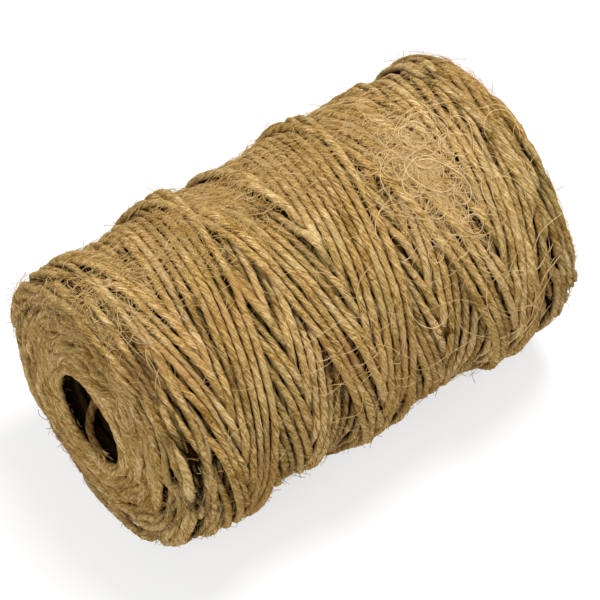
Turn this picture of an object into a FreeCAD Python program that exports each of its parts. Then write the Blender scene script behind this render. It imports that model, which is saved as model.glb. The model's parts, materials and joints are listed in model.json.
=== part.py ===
import FreeCAD, Part
import math
import os
import Sketcher

# String reel: a cylindrical, cross-wound package of three-ply jute twine with no former.
# It lies on its side. X runs along the winding axis from the near mouth (-X) to the far
# mouth (+X), Z is up, and the origin is on the ground under the middle of the package.
# The whole package is one twine, so its sub-parts are the lengths of that twine that come
# off one after the other: the turns that line the bore, the courses laid over them, the
# turns that close both ends, the slanted outer bands, and the loose inner end.

SIZES = [
    # alias, value in mm or degrees or a formula, what it is
    ("twine_diameter", "2", "across the three plies"),
    ("body_diameter", "69", "over the outer bands"),
    ("body_length", "113", "from one mouth of the bore to the other"),
    ("bore_radius", "10.5", "left by the mandrel, from the far mouth inwards"),
    ("mouth_radius", "11.2", "near stretch of the bore, opened by drawing twine out"),
    ("mouth_depth", "53.5", "length of the opened stretch"),
    ("lip_radius", "1.5", "rounding at both mouths of the bore"),
    ("shoulder_radius", "5", "rounding between end face and body"),
    ("end_crown", "2.5", "how far the lips stand out beyond the shoulders"),
    ("resting_flat", "0.4", "how far the side that it lies on is pressed in"),
    ("lining_thickness", "3", "turns that line the bore"),
    ("end_layer", "7", "depth of the turns that close each end"),
    ("outer_layer", "3.2", "thickness of the slanted outer bands"),
    ("course_count", "4", "courses between the lining and the outer bands"),
    ("band_count", "11", "outer bands along the package"),
    ("band_pitch", "9.8", "spacing of the edges between the outer bands"),
    ("band_tilt", "6", "slant of such an edge from square to the axis"),
    ("slant_step", "140", "how far each edge's slant is turned on from the last"),
    ("axis_height", "=body_diameter / 2 - resting_flat", "axis above the ground"),
    ("lining_radius", "=bore_radius + lining_thickness", "outside of the lining"),
    ("inner_radius", "=body_diameter / 2 - outer_layer", "inside of the outer bands"),
    ("course_step", "=(inner_radius - lining_radius) / course_count", "one course"),
    ("course_length", "=body_length - 2 * end_layer", "between the closed ends"),
    ("end_face", "=body_length / 2", "distance of each mouth from the middle"),
]

# The loose inner end's centreline in mm, from its root deep in the bore to its free tip
# just inside the near mouth. It follows the bore's wall down and round to the underside.
PULL_END_ROUTE = [
    (-10.0, 7.8, 39.5),
    (-22.0, 9.0, 37.0),
    (-33.0, 9.5, 33.8),
    (-43.0, 8.9, 30.9),
    (-49.8, 7.3, 28.0),
    (-53.3, 4.5, 25.7),
    (-54.9, 0.7, 24.6),
    (-55.3, -3.2, 25.2),
]
RUN_SHARE = 0.45  # part of the shorter run that an arc takes on each side of a corner
SAME_PLACE = 0.01  # mm
VOLUME_TOLERANCE = 0.02

doc = FreeCAD.newDocument("string_reel")
sheet = doc.addObject("Spreadsheet::Sheet", "sizes")
for row, (alias, value, meaning) in enumerate(SIZES, start=1):
    sheet.set(f"A{row}", alias)
    sheet.set(f"B{row}", value)
    sheet.setAlias(f"B{row}", alias)
    sheet.set(f"C{row}", meaning)
doc.recompute()

sub_parts = []


def size(alias):
    """A cell's value as a plain number."""
    value = sheet.get(alias)
    return float(getattr(value, "Value", value))


def sub_part(shape_object, label):
    """Labels an object as a sub-part and keeps it for export."""
    shape_object.Label = label
    sub_parts.append(shape_object)
    return shape_object


def combine(kind, name, base, tool):
    """A Part::Cut or Part::Common of two objects."""
    result = doc.addObject(f"Part::{kind}", name)
    result.Base = base
    result.Tool = tool
    return result


def rod(name, radius, length, start, yaw="0", climb="0"):
    """A cylinder that begins on the winding axis at start and runs towards +X.

    Its sizes, its start and the two angles that turn it off the axis are formulas.
    """
    cylinder = doc.addObject("Part::Cylinder", name)
    cylinder.setExpression("Radius", radius)
    cylinder.setExpression("Height", length)
    cylinder.setExpression("Placement.Base.x", start)
    cylinder.setExpression("Placement.Base.z", "sizes.axis_height")
    cylinder.setExpression("Placement.Rotation.Yaw", f"90 + {yaw}")
    cylinder.setExpression("Placement.Rotation.Roll", f"90 - {climb}")
    return cylinder


def origin_item(body, role):
    return next(item for item in body.Origin.OriginFeatures if item.Role == role)


def half_section(body):
    """The package's half section beside the winding axis, with the step in its bore."""
    sketch = body.newObject("Sketcher::SketchObject", "half_section")
    sketch.AttachmentSupport = [(origin_item(body, "XZ_Plane"), "")]
    sketch.MapMode = "FlatFace"
    corners = [
        ("-sizes.end_face", "sizes.mouth_radius"),
        ("sizes.mouth_depth - sizes.end_face", "sizes.mouth_radius"),
        ("sizes.mouth_depth - sizes.end_face", "sizes.bore_radius"),
        ("sizes.end_face", "sizes.bore_radius"),
        ("sizes.end_face - sizes.end_crown", "sizes.body_diameter / 2"),
        ("sizes.end_crown - sizes.end_face", "sizes.body_diameter / 2"),
    ]
    places = [[sheet.evalExpression(formula) for formula in corner] for corner in corners]
    points = [FreeCAD.Vector(float(x), float(z), 0) for x, z in places]
    for index, point in enumerate(points):
        following = points[(index + 1) % len(points)]
        sketch.addGeometry(Part.LineSegment(point, following))
    for index in range(len(points)):
        following = (index + 1) % len(points)
        sketch.addConstraint(Sketcher.Constraint("Coincident", index, 2, following, 1))
    for index, (point, corner) in enumerate(zip(points, corners)):
        for kind, value, formula in zip(("DistanceX", "DistanceY"), point, corner):
            constraint = Sketcher.Constraint(kind, -1, 1, index, 1, value)
            number = sketch.addConstraint(constraint)
            sketch.setExpression(f"Constraints[{number}]", formula)
    return sketch


def round_edges(body, base, name, radius, wanted):
    """Rounds the two circular edges of a feature that wanted picks out."""
    edges = []
    for number, edge in enumerate(base.Shape.Edges, start=1):
        if isinstance(edge.Curve, Part.Circle) and wanted(edge.Curve):
            edges.append(f"Edge{number}")
    if len(edges) != 2:
        raise RuntimeError(f"{name} should have 2 edges, not {len(edges)}")
    rounding = body.newObject("PartDesign::Fillet", name)
    rounding.Base = (base, edges)
    rounding.setExpression("Radius", radius)
    doc.recompute()
    return rounding


def make_outline():
    """The whole package as one turned solid, which its sub-parts are cut from."""
    body = doc.addObject("PartDesign::Body", "outline")
    body.setExpression("Placement.Base.z", "sizes.axis_height")
    section = half_section(body)
    turned = body.newObject("PartDesign::Revolution", "turned")
    turned.Profile = section
    turned.ReferenceAxis = (origin_item(body, "X_Axis"), [""])
    turned.Angle = 360.0
    doc.recompute()
    rim, end = size("body_diameter") / 2, size("end_face")
    shoulders = round_edges(
        body, turned, "shoulders", "sizes.shoulder_radius",
        lambda circle: abs(circle.Radius - rim) < SAME_PLACE,
    )
    round_edges(
        body, shoulders, "lips", "sizes.lip_radius",
        lambda circle: abs(abs(circle.Center.x) - end) < SAME_PLACE,
    )
    return body


def make_lining(outline):
    """The first turns, wound on the mandrel, which are the wall of the bore."""
    core = rod("lining_rod", "sizes.lining_radius", "sizes.body_length", "-sizes.end_face")
    sub_part(combine("Common", "lining", outline, core), "bore_lining_turns")


def make_courses():
    """Closed tubes of cross-wound twine, one over the other, sealed in by the ends."""
    for number in range(1, int(size("course_count")) + 1):
        inside = f"sizes.lining_radius + {number - 1} * sizes.course_step"
        outside = f"sizes.lining_radius + {number} * sizes.course_step"
        place = ("sizes.course_length", "-sizes.course_length / 2")
        outer = rod(f"course_{number}_outside", outside, *place)
        inner = rod(f"course_{number}_inside", inside, *place)
        course = combine("Cut", f"course_{number}_tube", outer, inner)
        sub_part(course, f"winding_course_{number}")


def make_end_turns(outline):
    """The turns that sweep round the bore at each end and close the courses in."""
    starts = {"near": "-sizes.end_face", "far": "sizes.course_length / 2"}
    for side, start in starts.items():
        disc = rod(f"{side}_disc", "sizes.inner_radius", "sizes.end_layer", start)
        core = rod(f"{side}_core", "sizes.lining_radius", "sizes.end_layer", start)
        ring = combine("Cut", f"{side}_ring", disc, core)
        turns = combine("Common", f"{side}_end", outline, ring)
        sub_part(turns, f"{side}_end_turns")


def make_outer_layer(outline):
    """The outer layer in one piece, pressed flat along the side that it lies on."""
    core = rod("inner_rod", "sizes.inner_radius", "sizes.body_length", "-sizes.end_face")
    layer = combine("Cut", "round_layer", outline, core)
    ground = doc.addObject("Part::Box", "ground")
    ground.setExpression("Length", "sizes.body_length")
    ground.setExpression("Width", "sizes.body_diameter")
    ground.setExpression("Height", "sizes.body_diameter")
    ground.setExpression("Placement.Base.x", "-sizes.end_face")
    ground.setExpression("Placement.Base.y", "-sizes.body_diameter / 2")
    ground.setExpression("Placement.Base.z", "-sizes.body_diameter")
    return combine("Cut", "outer_layer", layer, ground)


def slanted_edge(number):
    """Everything on the far side of one slanted edge between two outer bands."""
    start = f"({number} - sizes.band_count / 2) * sizes.band_pitch"
    turn = f"{number} * sizes.slant_step * 1deg"
    return rod(
        f"beyond_edge_{number}", "sizes.body_diameter", "sizes.body_length * 2", start,
        yaw=f"sizes.band_tilt * cos({turn})", climb=f"sizes.band_tilt * sin({turn})",
    )


def make_outer_bands(layer):
    """Bands of near-parallel turns, each laid over at its own slant, that tile the layer."""
    count = int(size("band_count"))
    edges = [slanted_edge(number) for number in range(1, count)]
    for number in range(1, count + 1):
        band = layer
        if number > 1:
            band = combine("Common", f"band_{number}_from", band, edges[number - 2])
        if number < count:
            band = combine("Cut", f"band_{number}_to", band, edges[number - 1])
        sub_part(band, f"outer_band_{number:02d}")


def rounded_path(route):
    """Straight runs joined by tangent arcs; returns the edges and the arcs' radii."""
    points = [FreeCAD.Vector(*point) for point in route]
    edges, radii, start = [], [], points[0]
    for before, corner, after in zip(points, points[1:], points[2:]):
        back, onward = before - corner, after - corner
        cut = RUN_SHARE * min(back.Length, onward.Length)
        half_turn = (math.pi - back.getAngle(onward)) / 2
        radius = cut / math.tan(half_turn)
        back.normalize()
        onward.normalize()
        inward = (back + onward).normalize()
        arc_start, arc_end = corner + back * cut, corner + onward * cut
        arc_middle = corner + inward * (radius / math.cos(half_turn) - radius)
        edges.append(Part.LineSegment(start, arc_start).toShape())
        edges.append(Part.Arc(arc_start, arc_middle, arc_end).toShape())
        radii.append(radius)
        start = arc_end
    edges.append(Part.LineSegment(start, points[-1]).toShape())
    return edges, radii


def make_pull_end():
    """The loose inner end of the twine, a round tube along its route in the bore."""
    edges, radii = rounded_path(PULL_END_ROUTE)
    path = Part.Wire(edges)
    first, second = FreeCAD.Vector(*PULL_END_ROUTE[0]), FreeCAD.Vector(*PULL_END_ROUTE[1])
    radius = size("twine_diameter") / 2
    ring = Part.Wire(Part.Circle(first, second - first, radius).toShape())
    tube = path.makePipeShell([ring], True, False)
    pull_end = doc.addObject("Part::Feature", "pull_end_tube")
    pull_end.Shape = tube
    expected = math.pi * radius**2 * path.Length
    print("pull_end radii", [round(value, 1) for value in radii], "mm")
    print("pull_end length", round(path.Length, 1), "mm")
    if abs(tube.Volume / expected - 1) > VOLUME_TOLERANCE:
        raise RuntimeError("pull_end's volume isn't its section times its length")
    sub_part(pull_end, "pull_end")


def export_all():
    """Checks every object and writes each sub-part to its own STEP file."""
    doc.recompute()
    for item in doc.Objects:
        if "Invalid" in item.State or "Error" in item.State:
            raise RuntimeError(f"{item.Label} failed: {item.State}")
    os.makedirs("parts", exist_ok=True)
    for item in sub_parts:
        shape = item.Shape
        if shape.isNull() or not shape.isValid() or len(shape.Solids) != 1:
            raise RuntimeError(f"{item.Label} isn't one valid solid")
        shape.exportStep(os.path.join("parts", f"{item.Label}.step"))
        print(f"{item.Label}: {shape.Volume / 1000:.2f} cm3")


package = make_outline()
make_lining(package)
make_courses()
make_end_turns(package)
make_outer_bands(make_outer_layer(package))
make_pull_end()
export_all()
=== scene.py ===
"""String reel: a cylindrical, cross-wound package of three-ply jute twine that lies on its side.

The twine is wound here as a winder lays it: a guide runs to and fro along the reel while
it turns, each cycle lies one twine's width beside the last, and every turn rests on what
is already there. The turns that end up in sight become three-ply twine.
"""

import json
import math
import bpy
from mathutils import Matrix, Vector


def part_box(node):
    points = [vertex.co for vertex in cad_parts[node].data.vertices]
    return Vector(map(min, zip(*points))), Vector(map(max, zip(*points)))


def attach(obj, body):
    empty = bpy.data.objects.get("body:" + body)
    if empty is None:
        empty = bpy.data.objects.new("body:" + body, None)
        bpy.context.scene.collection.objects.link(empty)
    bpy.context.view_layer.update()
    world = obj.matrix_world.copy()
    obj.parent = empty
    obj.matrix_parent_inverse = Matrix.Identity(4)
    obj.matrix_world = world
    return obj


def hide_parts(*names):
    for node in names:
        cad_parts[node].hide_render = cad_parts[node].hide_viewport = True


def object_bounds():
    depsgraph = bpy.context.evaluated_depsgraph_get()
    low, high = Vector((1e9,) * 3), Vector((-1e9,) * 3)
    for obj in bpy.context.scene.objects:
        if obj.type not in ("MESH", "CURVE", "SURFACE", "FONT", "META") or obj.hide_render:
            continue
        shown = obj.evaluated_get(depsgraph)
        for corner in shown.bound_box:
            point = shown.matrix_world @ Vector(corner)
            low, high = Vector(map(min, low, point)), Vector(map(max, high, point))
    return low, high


bl_info = {
    "name": "String Reel",
    "version": (1, 0, 0),
    "blender": (4, 5, 0),
    "location": "View3D > Sidebar > Reel",
    "description": "Winds a cross-wound reel of jute twine around its packed frame",
    "category": "Add Mesh",
}

import bpy
import numpy as np
from mathutils import Vector

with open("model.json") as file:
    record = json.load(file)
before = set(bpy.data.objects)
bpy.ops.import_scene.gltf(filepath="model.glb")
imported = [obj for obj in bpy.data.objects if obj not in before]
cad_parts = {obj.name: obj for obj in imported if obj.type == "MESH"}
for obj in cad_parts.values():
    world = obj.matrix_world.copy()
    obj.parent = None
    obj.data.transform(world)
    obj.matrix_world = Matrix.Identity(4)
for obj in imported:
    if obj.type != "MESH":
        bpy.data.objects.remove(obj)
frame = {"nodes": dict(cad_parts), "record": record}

MM = 0.001
TURN = 2.0 * math.pi
PLIES = 3
CAD_BOX = [list(corner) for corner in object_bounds()]
RECORD = frame["record"]
BORE = next(mount for mount in RECORD["mounts"] if mount["name"] == "far_bore")
AXIS_HEIGHT = BORE["pos_m"][2]
BORE_RADIUS = BORE["dims"]["r_mm"] * MM
HALF_LENGTH = 0.5 * (CAD_BOX[1][0] - CAD_BOX[0][0])
BODY_RADIUS = 0.5 * (CAD_BOX[1][1] - CAD_BOX[0][1])
BANDS = sorted(name for name in frame["nodes"] if name.startswith("outer_band_"))
COURSES = sorted(name for name in frame["nodes"] if name.startswith("winding_course_"))
WOUND, LOOSE = "wound_twine", "loose_end"


# ---------------------------------------------------------------- settings

class TwineSettings(bpy.types.PropertyGroup):
    """The twine itself."""

    radius: bpy.props.FloatProperty(
        name="Radius", description="Half the thickness of the twine", default=1.0 * MM,
        unit="LENGTH")
    lay: bpy.props.FloatProperty(
        name="Lay", description="Length in which a ply goes once round", default=11.0 * MM,
        unit="LENGTH")
    groove: bpy.props.FloatProperty(
        name="Groove", description="Depth of the groove between plies, as a share of the radius",
        default=0.13, subtype="FACTOR")
    pressed: bpy.props.FloatProperty(
        name="Pressed", description="Width of the wound twine as a share of the loose one",
        default=0.95, subtype="FACTOR")
    sides: bpy.props.IntProperty(
        name="Sides", description="Corners round the twine, a multiple of three", default=12)
    slub: bpy.props.FloatProperty(
        name="Slub", description="How much the thickness varies, as a share", default=0.09,
        subtype="FACTOR")


class WindingSettings(bpy.types.PropertyGroup):
    """How the twine is laid on the reel."""

    advance: bpy.props.FloatProperty(
        name="Advance", description="How far the guide moves along the reel in one turn",
        default=36.7 * MM, unit="LENGTH")
    turns: bpy.props.IntProperty(
        name="Turns", description="Turns of the reel in one cycle there and back", default=6)
    pitch: bpy.props.FloatProperty(
        name="Pitch", description="How far each cycle lies beside the last", default=2.1 * MM,
        unit="LENGTH")
    cycles: bpy.props.IntProperty(
        name="Cycles", description="Cycles laid over the hidden courses", default=40)
    reversal: bpy.props.FloatProperty(
        name="Reversal", description="How gently the twine turns back at each end",
        default=1.6 * MM, unit="LENGTH")
    off_centre: bpy.props.FloatProperty(
        name="Off Centre", description="How far the guide's travel lies towards the near end",
        default=-1.55 * MM, unit="LENGTH")
    shoulder_from: bpy.props.FloatProperty(
        name="Shoulder From", description="Where turns begin to run out over the shoulder",
        default=43.0 * MM, unit="LENGTH")
    shoulder_stretch: bpy.props.FloatProperty(
        name="Shoulder Stretch", description="How much farther they run past that place",
        default=1.2)
    wander: bpy.props.FloatProperty(
        name="Wander", description="How far a turn strays from its place", default=0.3 * MM,
        unit="LENGTH")
    front_place: bpy.props.FloatProperty(
        name="Front Place", description="Where the newest outward turns lie along the reel",
        default=-12.0 * MM, unit="LENGTH")
    front_angle: bpy.props.FloatProperty(
        name="Front Angle", description="Angle round the reel at which they lie there",
        default=math.radians(143.0), subtype="ANGLE")
    surface: bpy.props.FloatProperty(
        name="Surface", description="How far inside the outline the turns' mean surface lies",
        default=0.75 * MM, unit="LENGTH")
    seed: bpy.props.IntProperty(name="Seed", description="Seed of the strays", default=7)


class EndSettings(bpy.types.PropertyGroup):
    """The end faces, where the turns of every course turn back."""

    shoulder: bpy.props.FloatProperty(
        name="Shoulder", description="Rounding between body and end face", default=5.0 * MM,
        unit="LENGTH")
    crown: bpy.props.FloatProperty(
        name="Crown", description="How far the bore's lip stands out", default=2.5 * MM,
        unit="LENGTH")
    lip: bpy.props.FloatProperty(
        name="Lip", description="Rounding at the bore's mouth", default=1.5 * MM,
        unit="LENGTH")
    ring_step: bpy.props.FloatProperty(
        name="Ring Step", description="Distance between rings of turned-back twine",
        default=1.75 * MM, unit="LENGTH")
    last_ring: bpy.props.FloatProperty(
        name="Last Ring", description="Place of the outermost ring along the outline",
        default=45.5 * MM, unit="LENGTH")
    arc: bpy.props.FloatProperty(
        name="Arc", description="Length of a turned-back stretch in sight", default=46.0 * MM,
        unit="LENGTH")


# ---------------------------------------------------------------- shape of the reel

class Outline:
    """The reel's half section, told by the distance from the middle of the body.

    It runs along the body, over the shoulder, down the end face and round the lip.
    """

    STEP = 0.1 * MM
    LIPS_INTO_BORE = 4
    # How far outward along the axis the outline must face to count as the end face.
    FACING = 0.12

    def __init__(self, ends):
        bore, lip, shoulder = BORE_RADIUS, ends.lip, ends.shoulder
        lean = math.atan2(ends.crown, BODY_RADIUS - bore)
        face = math.cos(lean) * (HALF_LENGTH - ends.crown) + math.sin(lean) * BODY_RADIUS

        def centre_x(radius_from_axis, rounding):
            return (face - rounding - math.sin(lean) * radius_from_axis) / math.cos(lean)

        shoulder_x = centre_x(BODY_RADIUS - shoulder, shoulder)
        lip_x = centre_x(bore + lip, lip)
        points = [(0.0, BODY_RADIUS)]
        points += self._arc(shoulder_x, BODY_RADIUS - shoulder, shoulder, math.pi / 2, lean)
        points += self._arc(lip_x, bore + lip, lip, lean, -math.pi / 2)
        points.append((lip_x - self.LIPS_INTO_BORE * lip, bore))
        corners = np.array(points)
        lengths = np.hypot(*np.diff(corners, axis=0).T)
        along = np.concatenate([[0.0], np.cumsum(lengths)])
        self.along = np.arange(0.0, along[-1], self.STEP)
        self.x = np.interp(self.along, along, corners[:, 0])
        self.r = np.interp(self.along, along, corners[:, 1])
        slope_x, slope_r = np.gradient(self.x), np.gradient(self.r)
        length = np.hypot(slope_x, slope_r)
        self.out_x, self.out_r = -slope_r / length, slope_x / length
        self.face_start = along[1] + (math.pi / 2 - lean) * shoulder
        self.body_end = along[1]

    @staticmethod
    def _arc(x, r, rounding, start, stop, count=24):
        """Points of a rounding about this centre."""
        angles = np.linspace(start, stop, count)
        return [(x + rounding * math.cos(a), r + rounding * math.sin(a)) for a in angles]

    def at_radius(self, radius):
        """Distance along the outline at which the end face has this radius."""
        on_face = (self.along > self.body_end) & (self.out_x > self.FACING)
        return np.interp(radius, self.r[on_face][::-1], self.along[on_face][::-1])

    def place(self, along, angle, height):
        """Points and outward directions at places on the reel, height above its outline."""
        distance, side = np.abs(along), np.where(along < 0, -1.0, 1.0)
        out_x = np.interp(distance, self.along, self.out_x)
        out_r = np.interp(distance, self.along, self.out_r)
        x = np.interp(distance, self.along, self.x) + height * out_x
        r = np.interp(distance, self.along, self.r) + height * out_r
        cos, sin = np.cos(angle), np.sin(angle)
        points = np.stack([side * x, r * cos, AXIS_HEIGHT + r * sin], -1)
        outward = np.stack([side * out_x, out_r * cos, out_r * sin], -1)
        return points, outward


def rest_on_ground(points, clear, depth=1.0 * MM):
    """Presses what would come lower than this clearance above the ground back up."""
    over = points[..., 2] - clear
    pressed = depth * np.exp(np.minimum(over / depth, 1.0) - 1.0)
    points[..., 2] = clear + np.where(over < depth, pressed, over)
    return points


# ---------------------------------------------------------------- winding

class Surface:
    """The height of the laid twine over the outline, on a grid along and round the reel."""

    ROUND, STEP = 720, 0.25 * MM
    # Cells round and along over which the pile is smoothed, closely and widely.
    CLOSE, WIDE = (11, 13), (90, 60)
    SWELL_KEPT = 0.85
    LEAST_SHARE = 1e-3

    def __init__(self, reach, swell, hollow, bump):
        """An empty grid to this reach each way, and the most that its evened pile may vary."""
        self.reach = reach
        self.most_swell, self.most_hollow, self.most_bump = swell, hollow, bump
        self.cells = int(2 * reach / self.STEP) + 1
        self.height = np.zeros((self.ROUND, self.cells))

    def footprint(self, angle_cells, along, radius):
        """The cells under each point of a twine, and the twine's rise over each of them."""
        spread = int(radius / self.STEP) + 1
        middle = np.rint((along + self.reach) / self.STEP).astype(int)
        columns = middle[:, None] + np.arange(-spread, spread + 1)
        columns = np.clip(columns, 0, self.cells - 1)
        off = columns * self.STEP - self.reach - along[:, None]
        rise = np.sqrt(np.maximum(radius**2 - off**2, 0.0))
        rows = np.repeat((angle_cells % self.ROUND)[:, None], columns.shape[1], 1)
        return rows, columns, np.where(np.abs(off) < radius, rise, -np.inf)

    def support(self, angle_cells, along, radius):
        """The lowest centre height at which a twine clears what is already laid."""
        rows, columns, rise = self.footprint(angle_cells, along, radius)
        return (self.height[rows, columns] + rise).max(1)

    def lay(self, angle_cells, along, centre, radius):
        """Raises the surface to the top of a twine that lies at these centre heights."""
        rows, columns, rise = self.footprint(angle_cells, along, radius)
        top = centre[:, None] + rise
        self.height[rows, columns] = np.maximum(self.height[rows, columns], top)

    def in_sight(self, angle_cells, along, centre, radius, slack=0.04 * MM):
        """Where a twine is still part of the finished surface."""
        rows, columns, rise = self.footprint(angle_cells, along, radius)
        return (self.height[rows, columns] - (centre[:, None] + rise)).min(1) < slack

    def settle(self, mean):
        """Evens the pile out, as its tension does, to this mean height of its surface."""
        laid = (self.height > 0).astype(float)
        self.smooth, self.wide = [
            blurred(self.height, *spread) / np.maximum(blurred(laid, *spread), self.LEAST_SHARE)
            for spread in (self.CLOSE, self.WIDE)]
        self.mean = mean
        self.top = self.pressed(self.height, self.smooth, self.wide)

    def pressed(self, height, smooth, wide):
        """A height in the evened pile: swells, hollows and bumps are all held in."""
        rest = height - smooth
        sunk = -self.most_hollow * (1 - np.exp(np.minimum(rest, 0) / self.most_hollow))
        raised = self.most_bump * (1 - np.exp(-np.maximum(rest, 0) / self.most_bump))
        return self.mean + self.swell(smooth, wide) + (sunk + raised)

    def swell(self, smooth, wide):
        """The broad rise or fall of the pile, from its close and its wide smoothing."""
        return self.most_swell * np.tanh(self.SWELL_KEPT * (smooth - wide) / self.most_swell)

    def settled(self, angle_cells, along, centre):
        """Centre heights of a twine in the evened pile."""
        rows, columns = self.cell(angle_cells, along)
        return self.pressed(centre, self.smooth[rows, columns], self.wide[rows, columns])

    def cell(self, angle_cells, along):
        """Row and column of the grid at each place."""
        columns = np.rint((along + self.reach) / self.STEP).astype(int)
        return angle_cells % self.ROUND, np.clip(columns, 0, self.cells - 1)

    def at(self, along, angle):
        """Height of the evened surface at any places."""
        rows = np.rint(np.asarray(angle) / TURN * self.ROUND).astype(int)
        return self.top[self.cell(rows, along)]


def box_mean(grid, half, axis, mode):
    """Mean over half cells to each side along one axis."""
    reach = [(0, 0), (0, 0)]
    reach[axis] = (half + 1, half)
    sums = np.cumsum(np.pad(grid, reach, mode=mode), axis=axis)
    span = 2 * half + 1
    upper = np.take(sums, np.arange(span, sums.shape[axis]), axis)
    lower = np.take(sums, np.arange(sums.shape[axis] - span), axis)
    return (upper - lower) / span


def blurred(grid, rows, columns):
    """The grid smoothed twice, round the reel and along it."""
    for _ in range(2):
        grid = box_mean(grid, rows, 0, "wrap")
        grid = box_mean(grid, columns, 1, "edge")
    return grid


def running(values, half, pick):
    """pick (max, min or mean) over each value's neighbourhood."""
    padded = np.pad(values, half, mode="edge")
    windows = np.lib.stride_tricks.sliding_window_view(padded, 2 * half + 1)
    return pick(windows, axis=1)


def taut(raw, bridge=14, ease=10, give=0.22 * MM, press=0.12 * MM):
    """A twine under tension: it bridges short dips and presses a little into bumps."""
    bridged = running(running(raw, bridge, np.max), bridge, np.min)
    pulled = running(bridged, ease, np.mean)
    return np.maximum(pulled, raw - give) - press


def eased(share):
    """0 below 0, 1 above 1, and a smooth step between."""
    share = np.clip(share, 0.0, 1.0)
    return share * share * (3 - 2 * share)


def smooth_noise(random, count, knot):
    """Gentle noise of unit size that changes over about knot values."""
    knots = random.standard_normal(int(count / knot) + 3)
    place = np.arange(count) / knot
    cell = place.astype(int)
    share = eased(place - cell)
    return knots[cell] * (1 - share) + knots[cell + 1] * share


def strays(random, count, per_turn, per_cycle):
    """How a winding strays, in unit size: each cycle strays much like the one before."""
    # Turns over which the slow and the quick stray change, and what is kept of each.
    slow, quick, quick_share, kept = 0.21, 0.05, 0.4, 0.7
    stray = smooth_noise(random, count, slow * per_turn)
    stray += quick_share * smooth_noise(random, count, quick * per_turn)
    for start in range(per_cycle, count, per_cycle):
        before = stray[start - per_cycle:start]
        stray[start:start + per_cycle] = kept * stray[start:start + per_cycle] + kept * before
    return stray


def wind_body(winding, twine, surface):
    """Lays the cycles of crossed turns; returns angle cells, places and centre heights."""
    random = np.random.default_rng(winding.seed)
    per_turn = surface.ROUND
    cycle = winding.turns + winding.pitch / winding.advance
    per_cycle = int(round(cycle * per_turn))
    count = per_cycle * winding.cycles
    peak = winding.advance * cycle / 4

    # The guide's zigzag, rounded where it turns back and drawn out over the shoulders.
    cells = np.arange(count)
    phase = (cells % per_cycle) / per_cycle
    sweep = peak * (1 - 4 * np.abs(phase - 0.5))
    side = np.where(sweep < 0, -1.0, 1.0)
    reach = peak - np.sqrt((peak - np.abs(sweep))**2 + winding.reversal**2)
    past = np.maximum(reach - winding.shoulder_from, 0.0)
    reach = reach + (winding.shoulder_stretch - 1.0) * past
    along = side * reach + winding.off_centre
    along += winding.wander * strays(random, count, per_turn, per_cycle)

    # The whole winding is turned so that its newest outward turns lie at the front place.
    last_cycle = winding.cycles - 1
    ahead = (winding.front_place - winding.off_centre + peak) / winding.advance
    offset = ahead - winding.front_angle / TURN + last_cycle * winding.pitch / winding.advance
    cells = cells - int(round(offset % 1.0 * per_turn))

    # A quarter turn at a time settles on what is laid; the margin lets tension reach past it.
    radius = twine.radius
    raw, centre = np.zeros(count), np.zeros(count)
    chunk, margin = per_turn // 4, 40
    for start in range(0, count, chunk):
        stop = min(start + chunk, count)
        ahead_stop = min(stop + margin, count)
        view = slice(start, ahead_stop)
        raw[view] = surface.support(cells[view], along[view], radius)
        back = max(start - margin, 0)
        centre[start:stop] = taut(raw[back:ahead_stop])[start - back:stop - back]
        laid = slice(start, stop)
        surface.lay(cells[laid], along[laid], centre[laid], radius)
    return cells, along, centre


def wind_end(twine, ends, outline, surface, side, random):
    """Lays the turned-back stretches of one end face, ring by ring from the bore out.

    Each is (angle cells, places along the outline, centre heights).
    """
    overlap, shortest, longest = 0.34, 0.75, 1.3
    slant, waver_size, waver_knot = 1.5, 0.55 * MM, 34
    bow, bow_inward, past_lip = 0.9 * MM, 0.4 * MM, 0.3 * MM
    # Both tips dive under what comes later: how deep, and from which share of the half length.
    dive_depth, dive_from, dive_over = 2.6 * MM, 0.55, 0.45
    stretches = []
    lip = outline.at_radius(BORE_RADIUS + 1.2 * ends.lip)
    rings = int((lip - ends.last_ring) / ends.ring_step)
    for ring in range(rings + 1):
        place = lip - ring * ends.ring_step
        radius = np.interp(place, outline.along, outline.r)
        count = max(5, int(TURN * radius / (overlap * ends.arc)))
        start = random.uniform(0, TURN)
        for number in range(count):
            length = ends.arc * random.uniform(shortest, longest)
            half = int(0.5 * length / radius / TURN * surface.ROUND)
            middle = (start + number / count * TURN) / TURN * surface.ROUND
            cells = int(middle) + np.arange(-half, half + 1)
            share = np.arange(-half, half + 1) / half
            drift = random.uniform(-slant, slant) * MM * share
            waver = waver_size * smooth_noise(random, len(cells), waver_knot)
            out = drift + waver + bow * share**2 - bow_inward
            along = side * np.minimum(place - out, lip + past_lip)
            raw = surface.support(cells, along, twine.radius)
            tip = np.clip((np.abs(share) - dive_from) / dive_over, 0, 1)
            centre = taut(raw) - dive_depth * tip**2
            surface.lay(cells, along, centre, twine.radius)
            stretches.append((cells, along, centre))
    return stretches


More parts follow.
